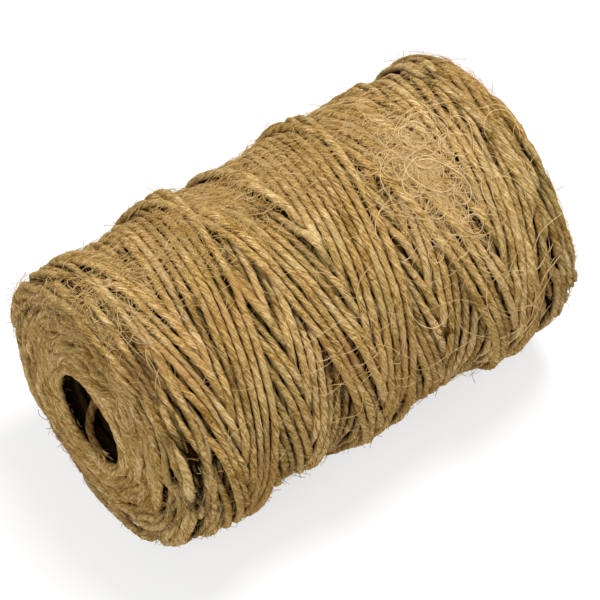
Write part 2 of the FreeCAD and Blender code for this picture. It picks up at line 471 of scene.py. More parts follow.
class Reel:
    """The wound reel: where each twine in sight runs, and the surface they make.

    A stretch is (0 on the body or the side of an end face, angle cells, places along the
    outline, heights over it, shade, number of its first cell).
    """

    def __init__(self, scene):
        self.twine, self.winding, self.ends = scene.reel_twine, scene.reel_winding, scene.reel_ends
        self.outline = Outline(self.ends)
        reach = self.outline.along[-1] - 1.0 * MM
        self.random = np.random.default_rng(self.winding.seed + 1)
        self.body = Surface(reach, swell=0.9 * MM, hollow=2.4 * MM, bump=0.55 * MM)
        self.faces = {side: Surface(reach, swell=0.3 * MM, hollow=1.3 * MM, bump=0.35 * MM)
                      for side in (-1, 1)}
        self.stretches = []
        self._body_stretches()
        for side in (-1, 1):
            self._end_stretches(side)

    def _body_stretches(self):
        """Winds the body and keeps what stays in sight, and a little more at each tip."""
        per_shade, spare, least = 300, 13, 12
        sunk, sunk_from, sunk_over = 1.2 * MM, 44 * MM, 9 * MM
        tuck, tuck_cells = 2.5 * MM, 25.0
        cells, along, centre = wind_body(self.winding, self.twine, self.body)
        seen = self.body.in_sight(cells, along, centre, self.twine.radius)
        kept = running(seen.astype(float), spare, np.max) > 0
        self.body.settle(-self.winding.surface)
        height = self.body.settled(cells, along, centre)
        # Over the shoulders the turns sink among the end's rings, and the last one is tucked in.
        height -= sunk * eased((np.abs(along) - sunk_from) / sunk_over)
        tail = np.arange(len(cells))[::-1]
        height -= tuck * np.exp(-tail / tuck_cells)
        shades = self.random.uniform(size=len(cells) // per_shade + 2)
        for start, stop in runs_of(kept, least):
            part = slice(start, stop)
            shade = shades[start // per_shade]
            self.stretches.append((0, cells[part], along[part], height[part], shade, start))

    def _end_stretches(self, side):
        """Winds one end face and keeps what stays in sight, and a little more at each tip."""
        spare, least = 16, 12
        sunk, sunk_over = 1.3 * MM, 7 * MM
        lip_rise, lip_radius, lip_over = 1.5 * MM, 22 * MM, 9 * MM
        surface = self.faces[side]
        laid = wind_end(self.twine, self.ends, self.outline, surface, side, self.random)
        seen = [surface.in_sight(cells, along, centre, self.twine.radius)
                for cells, along, centre in laid]
        surface.settle(-0.55 * MM)
        lip_start = self.outline.at_radius(lip_radius)
        for (cells, along, centre), visible in zip(laid, seen):
            kept = running(visible.astype(float), spare, np.max) > 0
            height = surface.settled(cells, along, centre)
            height -= sunk * eased((self.outline.face_start - np.abs(along)) / sunk_over)
            height += lip_rise * eased((np.abs(along) - lip_start) / lip_over)
            for start, stop in runs_of(kept, least):
                part = slice(start, stop)
                shade = self.random.uniform()
                self.stretches.append((side, cells[part], along[part], height[part], shade, 0))

    def surface_at(self, along, angle):
        """Height of the surface over the outline, on the body or on an end face."""
        height = self.body.at(along, angle)
        for side in (-1, 1):
            on_face = side * along > self.outline.face_start - 2 * MM
            height = np.where(on_face, self.faces[side].at(along, angle), height)
        return height


def runs_of(kept, least):
    """(start, stop) of each unbroken run of true values that is long enough."""
    edges = np.flatnonzero(np.diff(np.concatenate([[0], kept.astype(int), [0]])))
    pairs = edges.reshape(-1, 2)
    return [(start, stop) for start, stop in pairs if stop - start >= least]


_reels = []


def wound_reel():
    """The reel, wound once and shared by the operators."""
    if not _reels:
        _reels.append(Reel(bpy.context.scene))
    return _reels[0]


# ---------------------------------------------------------------- meshes

def run_lengths(points):
    """Length of a line of points up to each of them."""
    steps = np.linalg.norm(np.diff(points, axis=0), axis=1)
    return np.concatenate([[0.0], np.cumsum(steps)])


class Strands:
    """Gathers tubes into one mesh, with a UV map along and round them and two attributes."""

    def __init__(self):
        self.points, self.faces, self.uvs = [], [], []
        self.shades, self.depths = [], []
        self.count = 0

    def tube(self, points, outward, radii, turn, shade, depth, start=0.0):
        """A closed tube; radii is (rings, sides), turn the angle of its first corner, depth its
        painted shade.
        """
        points = np.asarray(points, float)
        rings, sides = radii.shape
        tangent = np.gradient(points, axis=0)
        tangent /= np.linalg.norm(tangent, axis=1)[:, None]
        side = np.cross(tangent, outward)
        side /= np.linalg.norm(side, axis=1)[:, None]
        up = np.cross(side, tangent)
        angles = turn[:, None] + np.arange(sides) * TURN / sides
        ring = side[:, None] * np.cos(angles)[..., None] + up[:, None] * np.sin(angles)[..., None]
        corners = points[:, None] + radii[..., None] * ring
        length = start + run_lengths(points)

        index = self.count + np.arange(rings * sides).reshape(rings, sides)
        after = np.roll(index, -1, 1)
        quads = np.stack([index[:-1], index[1:], after[1:], after[:-1]], -1).reshape(-1, 4)
        around = np.arange(sides + 1) / sides
        low = np.broadcast_to(around[:-1], (rings - 1, sides))
        high = np.broadcast_to(around[1:], (rings - 1, sides))
        first = np.broadcast_to(length[:-1, None], (rings - 1, sides))
        last = np.broadcast_to(length[1:, None], (rings - 1, sides))
        uv = np.stack([np.stack([first, low], -1), np.stack([last, low], -1),
                       np.stack([last, high], -1), np.stack([first, high], -1)], 2)
        self.points.append(corners.reshape(-1, 3))
        self.faces.append(quads)
        self.uvs.append(uv.reshape(-1, 2))
        for cap in (index[0], index[-1, ::-1]):
            self._cap(cap)
        self.shades.append(np.full(rings * sides, shade))
        self.depths.append(np.broadcast_to(depth, (rings, sides)).ravel())
        self.count += rings * sides

    def _cap(self, corners):
        """Closes an end of a tube with quads, or with a triangle where it has three sides."""
        count = len(corners)
        if count == 3:
            self.faces.append(corners[None])
            self.uvs.append(np.zeros((3, 2)))
            return
        pairs = [(corners[i], corners[i + 1], corners[count - 2 - i], corners[count - 1 - i])
                 for i in range(count // 2 - 1)]
        self.faces.append(np.array(pairs))
        self.uvs.append(np.zeros((4 * len(pairs), 2)))

    def lathe(self, outline_points, depth, count=96, shade=0.5, clear=0.4 * MM):
        """A closed ring round the reel's axis; the outline is (x, radius), anticlockwise; depth is
        its painted shade.
        """
        outline_points = np.asarray(outline_points, float)
        angles = np.arange(count) * TURN / count
        x = np.broadcast_to(outline_points[:, :1], (len(outline_points), count))
        y = outline_points[:, 1:] * np.cos(angles)
        z = AXIS_HEIGHT + outline_points[:, 1:] * np.sin(angles)
        index = self.count + np.arange(x.size).reshape(x.shape)
        below, after = np.roll(index, -1, 0), np.roll(index, -1, 1)
        quads = np.stack([index, below, np.roll(below, -1, 1), after], -1)
        points = rest_on_ground(np.stack([x, y, z], -1).reshape(-1, 3), clear)
        self.points.append(points)
        self.faces.append(quads.reshape(-1, 4))
        self.uvs.append(np.zeros((4 * index.size, 2)))
        self.shades.append(np.full(index.size, shade))
        self.depths.append(np.full(index.size, depth))
        self.count += index.size

    def build(self, name, material):
        """Makes one piece of everything gathered."""
        points = np.concatenate(self.points).astype(np.float32)
        corners = np.concatenate([faces.ravel() for faces in self.faces]).astype(np.int32)
        sizes = np.concatenate([np.full(len(faces), faces.shape[1]) for faces in self.faces])
        starts = np.concatenate([[0], np.cumsum(sizes)[:-1]]).astype(np.int32)
        mesh = bpy.data.meshes.new(name)
        mesh.vertices.add(len(points))
        mesh.vertices.foreach_set("co", points.ravel())
        mesh.loops.add(len(corners))
        mesh.loops.foreach_set("vertex_index", corners)
        mesh.polygons.add(len(starts))
        mesh.polygons.foreach_set("loop_start", starts)
        mesh.polygons.foreach_set("use_smooth", np.ones(len(starts), bool))
        uv_map = mesh.uv_layers.new(name="UVMap")
        uv_map.data.foreach_set("uv", np.concatenate(self.uvs).astype(np.float32).ravel())
        for label, values in (("shade", self.shades), ("depth", self.depths)):
            attribute = mesh.attributes.new(label, "FLOAT", "POINT")
            attribute.data.foreach_set("value", np.concatenate(values).astype(np.float32))
        mesh.update(calc_edges=True)
        mesh.validate()
        return piece_from(mesh, name, material)


def piece_from(mesh, name, material):
    """A new object of this mesh and material, at the origin."""
    mesh.name = name
    mesh.materials.clear()
    mesh.materials.append(material)
    piece = bpy.data.objects.new(name, mesh)
    bpy.context.scene.collection.objects.link(piece)
    return piece


def ply_radii(twine, rings, random, scale, slub_knot=14.0):
    """Corner radii of a three-ply twine, ring by ring, thicker here and thinner there."""
    corner = np.arange(twine.sides) * PLIES / twine.sides % 1.0
    groove = 0.5 - 0.5 * np.cos(TURN * corner)
    profile = 1.0 - twine.groove * groove**1.5
    slub = 1.0 + twine.slub * smooth_noise(random, rings, slub_knot)
    return twine.radius * scale * slub[:, None] * profile


def loose_fibre(strands, points, outward, radius, shade, tip=0.12):
    """A single thin fibre, three-sided, thinner at its ends."""
    taper = np.sin(np.linspace(tip, math.pi - tip, len(points)))**0.5
    radii = radius * taper[:, None] * np.ones(3)
    strands.tube(points, outward, radii, np.zeros(len(points)), shade, 0.0)


# ---------------------------------------------------------------- pieces of the reel

# One ring of the mesh for so many cells, and the depth below the surface at which a turn is
# painted all in shade.
BODY_CELLS, FACE_CELLS = 2, 4
DEEP = 2.1 * MM
# A stretch narrows to this share over so many rings at each tip.
TIP_RINGS, TIP_WIDTH = 6.0, 0.3
# About how much twine lies over one cell of the grid, so that the twist runs on.
CELL_LENGTH = 0.3 * MM


def band_edges():
    """Places along the reel where one outer band's piece ends and the next begins."""
    middles = sorted(0.5 * (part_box(name)[0][0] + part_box(name)[1][0]) for name in BANDS)
    return np.array([0.5 * (low + high) for low, high in zip(middles, middles[1:])])


def stretch_rings(reel, stretch):
    """Some of a stretch's cells, as points, outward directions and depth below the surface."""
    face, cells, along, height = stretch[:4]
    surface = reel.faces[face] if face else reel.body
    step = slice(None, None, FACE_CELLS if face else BODY_CELLS)
    cells, along, height = cells[step], along[step], height[step]
    angle = cells * TURN / surface.ROUND
    points, outward = reel.outline.place(along, angle, height)
    rows, columns = surface.cell(cells, along)
    swell = surface.swell(surface.smooth[rows, columns], surface.wide[rows, columns])
    below = surface.mean + swell - height
    return rest_on_ground(points, 1.1 * reel.twine.radius), outward, below


def add_turns(reel, bins, stretch, edges):
    """Adds one stretch to the pieces it runs through, thinner at its two tips."""
    face, shade, start = stretch[0], stretch[4], stretch[5]
    points, outward, below = stretch_rings(reel, stretch)
    twine, last_ring = reel.twine, len(points) - 1
    random = np.random.default_rng(start + int(shade * 1e6))
    radii = ply_radii(twine, len(points), random, twine.pressed)
    number = np.arange(len(points))
    tip = np.minimum(number, number[::-1]) / TIP_RINGS
    radii *= (TIP_WIDTH + (1.0 - TIP_WIDTH) * eased(tip))[:, None]
    length = run_lengths(points) + start * CELL_LENGTH
    turn = TURN * length / twine.lay
    corner = turn[:, None] + np.arange(twine.sides) * TURN / twine.sides
    # Depth of each corner below the surface, from 0 to 1; the jute paints it as shade between the
    # turns.
    depth = np.clip((below[:, None] - radii * np.sin(corner)) / DEEP, 0.0, 1.0)
    home = np.full(len(points), face) if face else np.searchsorted(edges, points[:, 0])
    cuts = np.concatenate([[0], np.flatnonzero(np.diff(home)) + 1, [last_ring]])
    for first, last in zip(cuts, cuts[1:]):
        if first == last:
            continue
        # A piece of a single step borrows the ring before it, so that it has a direction.
        part = slice(max(first - 1, 0) if last - first == 1 else first, last + 1)
        key = ("end", face) if face else ("band", int(home[first]))
        bins.setdefault(key, Strands()).tube(
            points[part], outward[part], radii[part], turn[part], shade, depth[part],
            length[part.start])


def end_core(outline, side, inset=2.4 * MM, inner=13.2 * MM, width=6.5 * MM, every=6):
    """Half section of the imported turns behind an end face, as (x, radius) points."""
    inside = outline.along < outline.at_radius(inner + inset)
    keep = inside & (outline.along > outline.body_end - 4 * MM)
    x = outline.x[keep][::every] - inset * outline.out_x[keep][::every]
    r = outline.r[keep][::every] - inset * outline.out_r[keep][::every]
    corners = list(zip(side * x, r))
    foot = side * (HALF_LENGTH - width)
    corners += [(foot, inner), (foot, BODY_RADIUS - inset - 1.5 * MM)]
    return corners if side < 0 else corners[::-1]


class REEL_OT_turns(bpy.types.Operator):
    """Winds the turns in sight: eleven outer bands and both end faces"""

    bl_idname = "reel.turns"
    bl_label = "Wind Outer Bands and Ends"

    def execute(self, context):
        reel = wound_reel()
        edges = band_edges()
        bins = {}
        for stretch in reel.stretches:
            add_turns(reel, bins, stretch, edges)
        material = jute_material("Jute Twine", JUTE)
        for number, node in enumerate(BANDS):
            band = bins["band", number].build(f"turns_band_{number + 1:02d}", material)
            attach(band, WOUND)
            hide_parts(node)
        for side, node, name in ((-1, "near_end_turns", "turns_near_end"),
                                 (1, "far_end_turns", "turns_far_end")):
            strands = bins["end", side]
            # Painted shade: the turns behind the end face are a closed ring coloured all in the
            # near-black of the deep spaces between turns.
            strands.lathe(end_core(reel.outline, side), 1.0)
            end = strands.build(name, material)
            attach(end, WOUND)
            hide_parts(node)
        return {"FINISHED"}


class REEL_OT_inner_courses(bpy.types.Operator):
    """Gives the hidden courses under the outer bands their jute, darkened as painted shade"""

    bl_idname = "reel.inner_courses"
    bl_label = "Finish Inner Courses"

    def execute(self, context):
        # The hidden courses take jute darkened as painted shade.
        material = jute_material("Inner Jute", INNER_JUTE_SHADED)
        for name in COURSES:
            for slot in frame["nodes"][name].material_slots:
                slot.material = material
        return {"FINISHED"}


class REEL_OT_bore_lining(bpy.types.Operator):
    """Coils the close turns that line the bore"""

    bl_idname = "reel.bore_lining"
    bl_label = "Coil Bore Lining"

    pitch: bpy.props.FloatProperty(
        name="Pitch", description="Distance between turns of the lining", default=2.05 * MM,
        unit="LENGTH")
    mouth_radius: bpy.props.FloatProperty(
        name="Mouth Radius", description="Bore radius over the near half", default=11.2 * MM,
        unit="LENGTH")
    mouth_depth: bpy.props.FloatProperty(
        name="Mouth Depth", description="How far in the bore keeps that radius",
        default=53.5 * MM, unit="LENGTH")
    inset: bpy.props.FloatProperty(
        name="Inset", description="How far inside each mouth the lining ends",
        default=3.4 * MM, unit="LENGTH")
    rings: bpy.props.IntProperty(
        name="Rings", description="Mesh rings in each turn", default=60)

    def execute(self, context):
        reel = wound_reel()
        twine = reel.twine
        low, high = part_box("bore_lining_turns")
        start, stop = low[0] + self.inset, high[0] - self.inset
        turns = (stop - start) / self.pitch
        count = int(turns * self.rings)
        share = np.linspace(0.0, 1.0, count)
        x = start + share * (stop - start)
        narrow_over = 3 * MM
        narrow = np.clip((x - low[0] - self.mouth_depth) / narrow_over, 0.0, 1.0)
        bore = self.mouth_radius + (BORE_RADIUS - self.mouth_radius) * narrow
        radius = bore + twine.radius + 0.12 * MM * smooth_noise(reel.random, count, 25)
        angle = share * turns * TURN
        x = x + 0.22 * MM * smooth_noise(reel.random, count, 60)
        x = np.clip(x, start, stop)
        cos, sin = np.cos(angle), np.sin(angle)
        points = np.stack([x, radius * cos, AXIS_HEIGHT + radius * sin], -1)
        outward = np.stack([np.zeros(count), -cos, -sin], -1)
        radii = ply_radii(twine, count, reel.random, 0.98)
        turn = TURN * run_lengths(points) / twine.lay
        strands = Strands()
        # Painted shade inside the bore: the lining is painted partly in the near-black between
        # turns, and its jute is darkened all over.
        strands.tube(points, outward, radii, turn, shade=0.4, depth=0.35)
        lining = strands.build("turns_bore_lining", jute_material("Lining Jute", LINING_JUTE_SHADED))
        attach(lining, WOUND)
        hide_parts("bore_lining_turns")
        return {"FINISHED"}


# The loose end's route in mm, from inside the bore to the lower edge of its near mouth.
PULL_END_ROUTE = (
    (-10.0, 7.8, 39.5), (-22.0, 9.0, 37.0), (-33.0, 9.5, 33.8), (-43.0, 8.9, 30.9),
    (-49.8, 7.3, 28.0), (-53.3, 4.5, 25.7), (-54.9, 0.7, 24.6), (-55.3, -3.2, 25.2))


def route_points(route, step=0.3 * MM):
    """Points at an even step along the smooth curve of a route in mm, and their lengths."""
    curve = bpy.data.curves.new("route", "CURVE")
    curve.dimensions = "3D"
    curve.resolution_u = 24
    spline = curve.splines.new("NURBS")
    spline.points.add(len(route) - 1)
    for point, place in zip(spline.points, route):
        point.co = (*(value * MM for value in place), 1.0)
    spline.order_u = 3
    spline.use_endpoint_u = True
    guide = bpy.data.objects.new("route", curve)
    mesh = bpy.data.meshes.new_from_object(guide)
    points = np.array([vertex.co[:] for vertex in mesh.vertices])
    bpy.data.objects.remove(guide)
    bpy.data.curves.remove(curve)
    bpy.data.meshes.remove(mesh)
    length = run_lengths(points)
    even = np.linspace(0.0, length[-1], int(length[-1] / step) + 1)
    return np.stack([np.interp(even, length, points[:, axis]) for axis in range(3)], -1), even


class REEL_OT_pull_end(bpy.types.Operator):
    """Draws the loose inner end of the twine in the bore, with its frayed tip"""

    bl_idname = "reel.pull_end"
    bl_label = "Draw Loose Inner End"

    fibres: bpy.props.IntProperty(
        name="Fibres", description="Fibres at the frayed tip", default=26)

    def execute(self, context):
        twine = context.scene.reel_twine
        points, length = route_points(PULL_END_ROUTE)
        random = np.random.default_rng(21)
        outward = np.tile((0.0, 0.0, 1.0), (len(points), 1))
        strands = Strands()
        strands.tube(points, outward, ply_radii(twine, len(points), random, 1.03),
                     TURN * length / twine.lay, shade=0.75, depth=0.0)
        # The loose end's jute is darkened as painted shade in the bore's mouth.
        material = jute_material("Loose End Jute", LOOSE_JUTE_SHADED)
        cord = strands.build("pull_end_twine", material)
        frayed = Strands()
        tip = points[-1]
        heading = tip - points[-6]
        heading /= np.linalg.norm(heading)
        for _ in range(self.fibres):
            spread = 0.5 * random.normal(size=3)
            reach = random.uniform(1.4, 3.0) * MM
            share = np.linspace(0.0, 1.0, 9)[:, None]
            start = tip - heading * 1.2 * MM + 0.35 * MM * random.normal(size=3)
            route = start + reach * share * (heading + spread * share)
            loose_fibre(frayed, route, np.tile((0.3, 0.2, 1.0), (len(route), 1)),
                        0.11 * MM, random.uniform())
        fray = frayed.build("pull_end_fray", fibre_material())
        for piece in (cord, fray):
            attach(piece, LOOSE)
        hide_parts("pull_end")
        return {"FINISHED"}


# ---------------------------------------------------------------- finishes

class Wire:
    """A value inside a node tree: arithmetic on it adds Math nodes."""

    def __init__(self, web, socket):
        self.web, self.socket = web, socket

    def _math(self, operation, *values, clamp=False):
        """The result of a new Math node."""
        settings = {"operation": operation, "use_clamp": clamp}
        return self.web.node("ShaderNodeMath", settings, dict(enumerate(values)))

    def __add__(self, other):
        return self._math("ADD", self, other)

    __radd__ = __add__

    def __sub__(self, other):
        return self._math("SUBTRACT", self, other)

    def __rsub__(self, other):
        return self._math("SUBTRACT", other, self)

    def __mul__(self, other):
        return self._math("MULTIPLY", self, other)

    __rmul__ = __mul__

    def __pow__(self, other):
        return self._math("POWER", self, other)

    def cosine(self):
        """Cosine of an angle in radians."""
        return self._math("COSINE", self)

    def clamped(self):
        """The value held between 0 and 1."""
        return self._math("ADD", self, 0.0, clamp=True)

    def ramp(self, low, high):
        """0 below low, 1 above high, and smooth between."""
        return self.web.node(
            "ShaderNodeMapRange", {"interpolation_type": "SMOOTHSTEP"},
            {"Value": self, "From Min": low, "From Max": high})


class Web:
    """A node tree that is written as expressions."""

    def __init__(self, tree):
        self.tree = tree

    def node(self, kind, settings=(), values=(), output=0):
        """A node of this kind; its settings come first, then its values or links."""
        made = self.tree.nodes.new(kind)
        for name, value in dict(settings).items():
            setattr(made, name, value)
        for name, value in dict(values).items():
            socket = self._input(made, name)
            if isinstance(value, Wire):
                self.tree.links.new(value.socket, socket)
            else:
                socket.default_value = value
        if isinstance(output, str):
            return Wire(self, next(s for s in made.outputs if s.enabled and s.name == output))
        return Wire(self, [s for s in made.outputs if s.enabled][output]) if made.outputs else None

    @staticmethod
    def _input(made, name):
        """An input of a node, by its number or by the name of one that is in use."""
        if isinstance(name, int):
            return made.inputs[name]
        return next(socket for socket in made.inputs if socket.enabled and socket.name == name)

    def mix(self, share, first, second, blend="MIX"):
        """One colour turned into another by a share."""
        settings = {"data_type": "RGBA", "blend_type": blend, "clamp_factor": True}
        return self.node("ShaderNodeMix", settings,
                         {"Factor": share, "A": first, "B": second})

    def vector(self, x, y, z):
        """Three values as one vector."""
        return self.node("ShaderNodeCombineXYZ", values={"X": x, "Y": y, "Z": z})

    def noise(self, vector, scale, detail=2.0, roughness=0.5):
        """Noise from 0 to 1 over a vector."""
        return self.node("ShaderNodeTexNoise", values={
            "Vector": vector, "Scale": scale, "Detail": detail, "Roughness": roughness})


def new_material(name):
    """An empty material and the web of its node tree."""
    material = bpy.data.materials.new(name)
    material.use_nodes = True
    material.node_tree.nodes.clear()
    return material, Web(material.node_tree)


def finish_surface(web, values):
    """Ends a material in one Principled shader."""
    shader = web.node("ShaderNodeBsdfPrincipled", values=values)
    web.node("ShaderNodeOutputMaterial", values={"Surface": shader})


def srgb(red, green, blue):
    """A linear colour from its usual 0 to 255 numbers."""
    parts = [value / 255.0 for value in (red, green, blue)]
    linear = [p / 12.92 if p <= 0.04045 else ((p + 0.055) / 1.055)**2.4 for p in parts]
    return (*linear, 1.0)


# Painted shade: how light each jute is painted beside the turns in sight, and the browner tint of
# that shade.
JUTE, INNER_JUTE_SHADED, LINING_JUTE_SHADED, LOOSE_JUTE_SHADED = 1.0, 0.1, 0.1, 0.42
PAINTED_SHADE_TINT = (1.0, 0.84, 0.62)


class FinishSettings(bpy.types.PropertyGroup):
    """Colours of the jute, and the painted shade between its turns."""

    light: bpy.props.FloatVectorProperty(
        name="Light", description="Bright fibres on top of the plies", size=4,
        default=srgb(249, 222, 170), subtype="COLOR")
    middle: bpy.props.FloatVectorProperty(
        name="Middle", description="Usual colour of the plies", size=4,
        default=srgb(205, 167, 99), subtype="COLOR")
    dark: bpy.props.FloatVectorProperty(
        name="Dark", description="Shaded fibres", size=4,
        default=srgb(130, 94, 34), subtype="COLOR")
    # Painted shade deep between the turns and in the ply grooves; also the own colour of the
    # near-black knots among the loose fibres.
    gap: bpy.props.FloatVectorProperty(
        name="Gap", description="Deep between the turns", size=4,
        default=srgb(30, 14, 0), subtype="COLOR")
    rust: bpy.props.FloatVectorProperty(
        name="Rust", description="Stretches of browner fibre", size=4,
        default=srgb(190, 144, 84), subtype="COLOR")
    olive: bpy.props.FloatVectorProperty(
        name="Olive", description="Stretches of greener fibre", size=4,
        default=srgb(176, 154, 92), subtype="COLOR")


def toned(web, tone, finish):
    """Jute colour from dark, at 0, over middle to light, at 1."""
    lower = web.mix((tone * 2.0).clamped(), tuple(finish.dark), tuple(finish.middle))
    return web.mix((tone * 2.0 - 1.0).clamped(), lower, tuple(finish.light))


def jute_material(name, painted_shade_lightness):
    """Spun jute: streaked fibres on three plies, each turn its own tone; painted shade between
    turns.
    """
    known = bpy.data.materials.get(name)
    if known:
        return known
    finish = bpy.context.scene.reel_finish
    material, web = new_material(name)
    uv = web.node("ShaderNodeUVMap", {"uv_map": "UVMap"})
    along = web.node("ShaderNodeSeparateXYZ", values={"Vector": uv}, output="X")
    around = web.node("ShaderNodeSeparateXYZ", values={"Vector": uv}, output="Y")
    shade = web.node("ShaderNodeAttribute", {"attribute_name": "shade"}, output="Fac")
    depth = web.node("ShaderNodeAttribute", {"attribute_name": "depth"}, output="Fac")
    place = web.node("ShaderNodeTexCoord", output="Object")

    patches = web.noise(place, 42.0, 2.0)
    mottled = web.noise(place, 260.0, 3.0)
    slow = web.noise(web.vector(along * 70.0, shade * 90.0, 0.0), 1.0, 2.0)
    wind = web.vector(along * 230.0, around * 18.0, shade * 70.0)
    streak = web.noise(wind, 1.0, 3.0, 0.6)
    fine = web.noise(web.vector(along * 520.0, around * 42.0, shade * 50.0), 1.0, 2.0, 0.65)
    specks = web.noise(place, 1500.0, 2.0, 0.6)
    # Where the grooves between the plies lie, for the painted shade below.
    groove = 0.5 - 0.5 * (around * (PLIES * TURN)).cosine()

    tone = 0.46
    for pattern, share in ((shade, 0.28), (slow, 0.7), (mottled, 0.5), (streak, 2.0),
                           (fine, 2.0), (specks, 1.1)):
        tone = tone + (pattern - 0.5) * share
    colour = toned(web, tone.clamped(), finish)
    rusty = (patches + (slow - 0.5) * 0.5).ramp(0.56, 0.74) * 0.6
    olive = (1.0 - patches + (slow - 0.5) * 0.6).ramp(0.56, 0.76) * 0.55
    colour = web.mix(rusty, colour, tuple(finish.rust))
    colour = web.mix(olive, colour, tuple(finish.olive))
    # Painted shade: darker in the ply grooves and the deeper a corner lies below the surface,
    # towards the near-black colour between the turns.
    painted_shade = (groove**3.0 * 0.13 + depth * 1.36).clamped()
    colour = web.mix(painted_shade, colour, tuple(finish.gap))
    # Inner courses, bore lining and loose end: the whole colour is darkened as painted shade, with
    # a browner tint.
    if painted_shade_lightness != 1.0:
        tint = (*(part * painted_shade_lightness for part in PAINTED_SHADE_TINT), 1.0)
        colour = web.mix(1.0, colour, tint, "MULTIPLY")
    height = streak * 0.7 + fine * 0.6 + mottled * 0.2 + specks * 0.2
    bump = web.node("ShaderNodeBump", values={
        "Height": height, "Strength": 0.9, "Distance": 0.5 * MM})
    finish_surface(web, {"Base Color": colour, "Roughness": 0.86, "Normal": bump,
                         "Specular IOR Level": 0.05})
    return material


def fibre_material():
    """Loose fibres: paler than the twine, each its own shade."""
    known = bpy.data.materials.get("Loose Fibre")
    if known:
        return known
    finish = bpy.context.scene.reel_finish
    material, web = new_material("Loose Fibre")
    shade = web.node("ShaderNodeAttribute", {"attribute_name": "shade"}, output="Fac")
    place = web.node("ShaderNodeTexCoord", output="Object")
    mottled = web.noise(place, 380.0, 1.0)
    tone = 0.3 + shade * 0.6 + (mottled - 0.5) * 0.6
    colour = toned(web, tone.clamped(), finish)
    # Fibres whose tone falls below 0, as in the knots, turn near-black: their own colour, the same
    # one the jute uses for painted shade.
    colour = web.mix((tone * -1.0).clamped(), colour, tuple(finish.gap))
    finish_surface(web, {"Base Color": colour, "Roughness": 0.7, "Specular IOR Level": 0.08})
    return material


# ---------------------------------------------------------------- loose fibres

# Sideways bend at the middle and at the end as shares of the length, and the end's lift.
FUZZ_BENDS = ((0.35, 0.5, 0.5), (-0.55, -0.1, 1.1), (0.15, -0.6, 0.2))


def fuzz_tree():
    """Geometry nodes that set short bent fibres of three kinds all over a surface."""
    tree = bpy.data.node_groups.new("Fuzz", "GeometryNodeTree")
    face = tree.interface
    face.new_socket("Geometry", in_out="INPUT", socket_type="NodeSocketGeometry")
    for label, kind in (("Density", "Float"), ("Length", "Float"), ("Lift", "Float"),
                        ("Thickness", "Float"), ("Seed", "Int"), ("Material", "Material")):
        face.new_socket(label, in_out="INPUT", socket_type="NodeSocket" + kind)
    face.new_socket("Geometry", in_out="OUTPUT", socket_type="NodeSocketGeometry")
    web = Web(tree)
    sizes = tree.nodes.new("NodeGroupInput")

    def size(label):
        return Wire(web, sizes.outputs[label])

    length, lift = size("Length"), size("Lift")
    ring = web.node("GeometryNodeCurvePrimitiveCircle", values={
        "Resolution": 3, "Radius": size("Thickness")})
    kinds = tree.nodes.new("GeometryNodeJoinGeometry")
    for bend, sway, end in FUZZ_BENDS:
        line = web.node("GeometryNodeCurveQuadraticBezier", values={
            "Resolution": 5, "Start": (0.0, 0.0, 0.0),
            "Middle": web.vector(length * 0.5, length * bend, lift),
            "End": web.vector(length, length * sway, lift * end)})
        fibre = web.node("GeometryNodeCurveToMesh", values={
            "Curve": line, "Profile Curve": ring, "Fill Caps": True})
        kind = web.node("GeometryNodeGeometryToInstance", values={0: fibre})
        tree.links.new(kind.socket, kinds.inputs[0])

    spots = tree.nodes.new("GeometryNodeDistributePointsOnFaces")
    tree.links.new(size("Geometry").socket, spots.inputs["Mesh"])
    tree.links.new(size("Density").socket, spots.inputs["Density"])
    tree.links.new(size("Seed").socket, spots.inputs["Seed"])
    upright = web.node("FunctionNodeAlignRotationToVector", {"axis": "Z"}, {
        "Vector": Wire(web, spots.outputs["Normal"])})
    angle = web.node("FunctionNodeRandomValue", {"data_type": "FLOAT"}, {
        "Min": 0.0, "Max": TURN, "Seed": size("Seed")})
    about = web.node("FunctionNodeAxisAngleToRotation", values={
        "Axis": (0.0, 0.0, 1.0), "Angle": angle})
    turned = web.node("FunctionNodeRotateRotation", {"rotation_space": "LOCAL"}, {
        "Rotation": upright, "Rotate By": about})
    scale = web.node("FunctionNodeRandomValue", {"data_type": "FLOAT"}, {
        "Min": 0.45, "Max": 1.5, "Seed": 3})
    pick = web.node("FunctionNodeRandomValue", {"data_type": "INT"}, {
        "Min": 0, "Max": 2, "Seed": 5})
    placed = web.node("GeometryNodeInstanceOnPoints", values={
        "Points": Wire(web, spots.outputs["Points"]), "Instance": Wire(web, kinds.outputs[0]),
        "Pick Instance": True, "Instance Index": pick, "Rotation": turned, "Scale": scale})
    real = web.node("GeometryNodeRealizeInstances", values={"Geometry": placed})
    smooth = web.node("GeometryNodeSetShadeSmooth", values={"Geometry": real})
    dressed = web.node("GeometryNodeSetMaterial", values={
        "Geometry": smooth, "Material": size("Material")})
    out = tree.nodes.new("NodeGroupOutput")
    tree.links.new(dressed.socket, out.inputs["Geometry"])
    return tree


def emitter_mesh(reel, low, high, step=1.0 * MM, around=220, below=0.15 * MM):
    """A net just under the reel's surface between two places, for fibres to grow from."""
    along = np.arange(low, high, step)
    angle = np.arange(around) * TURN / around
    along_grid, angle_grid = np.meshgrid(along, angle, indexing="ij")
    height = reel.surface_at(along_grid, angle_grid) - below
    points, _ = reel.outline.place(along_grid, angle_grid, height)
    points = rest_on_ground(points, 0.5 * MM)
    index = np.arange(points.shape[0] * around).reshape(-1, around)
    beside = np.roll(index, -1, 1)
    quads = np.stack([index[:-1], index[1:], beside[1:], beside[:-1]], -1).reshape(-1, 4)
    mesh = bpy.data.meshes.new("emitter")
    mesh.from_pydata(points.reshape(-1, 3).tolist(), [], quads[:, ::-1].tolist())
    return mesh


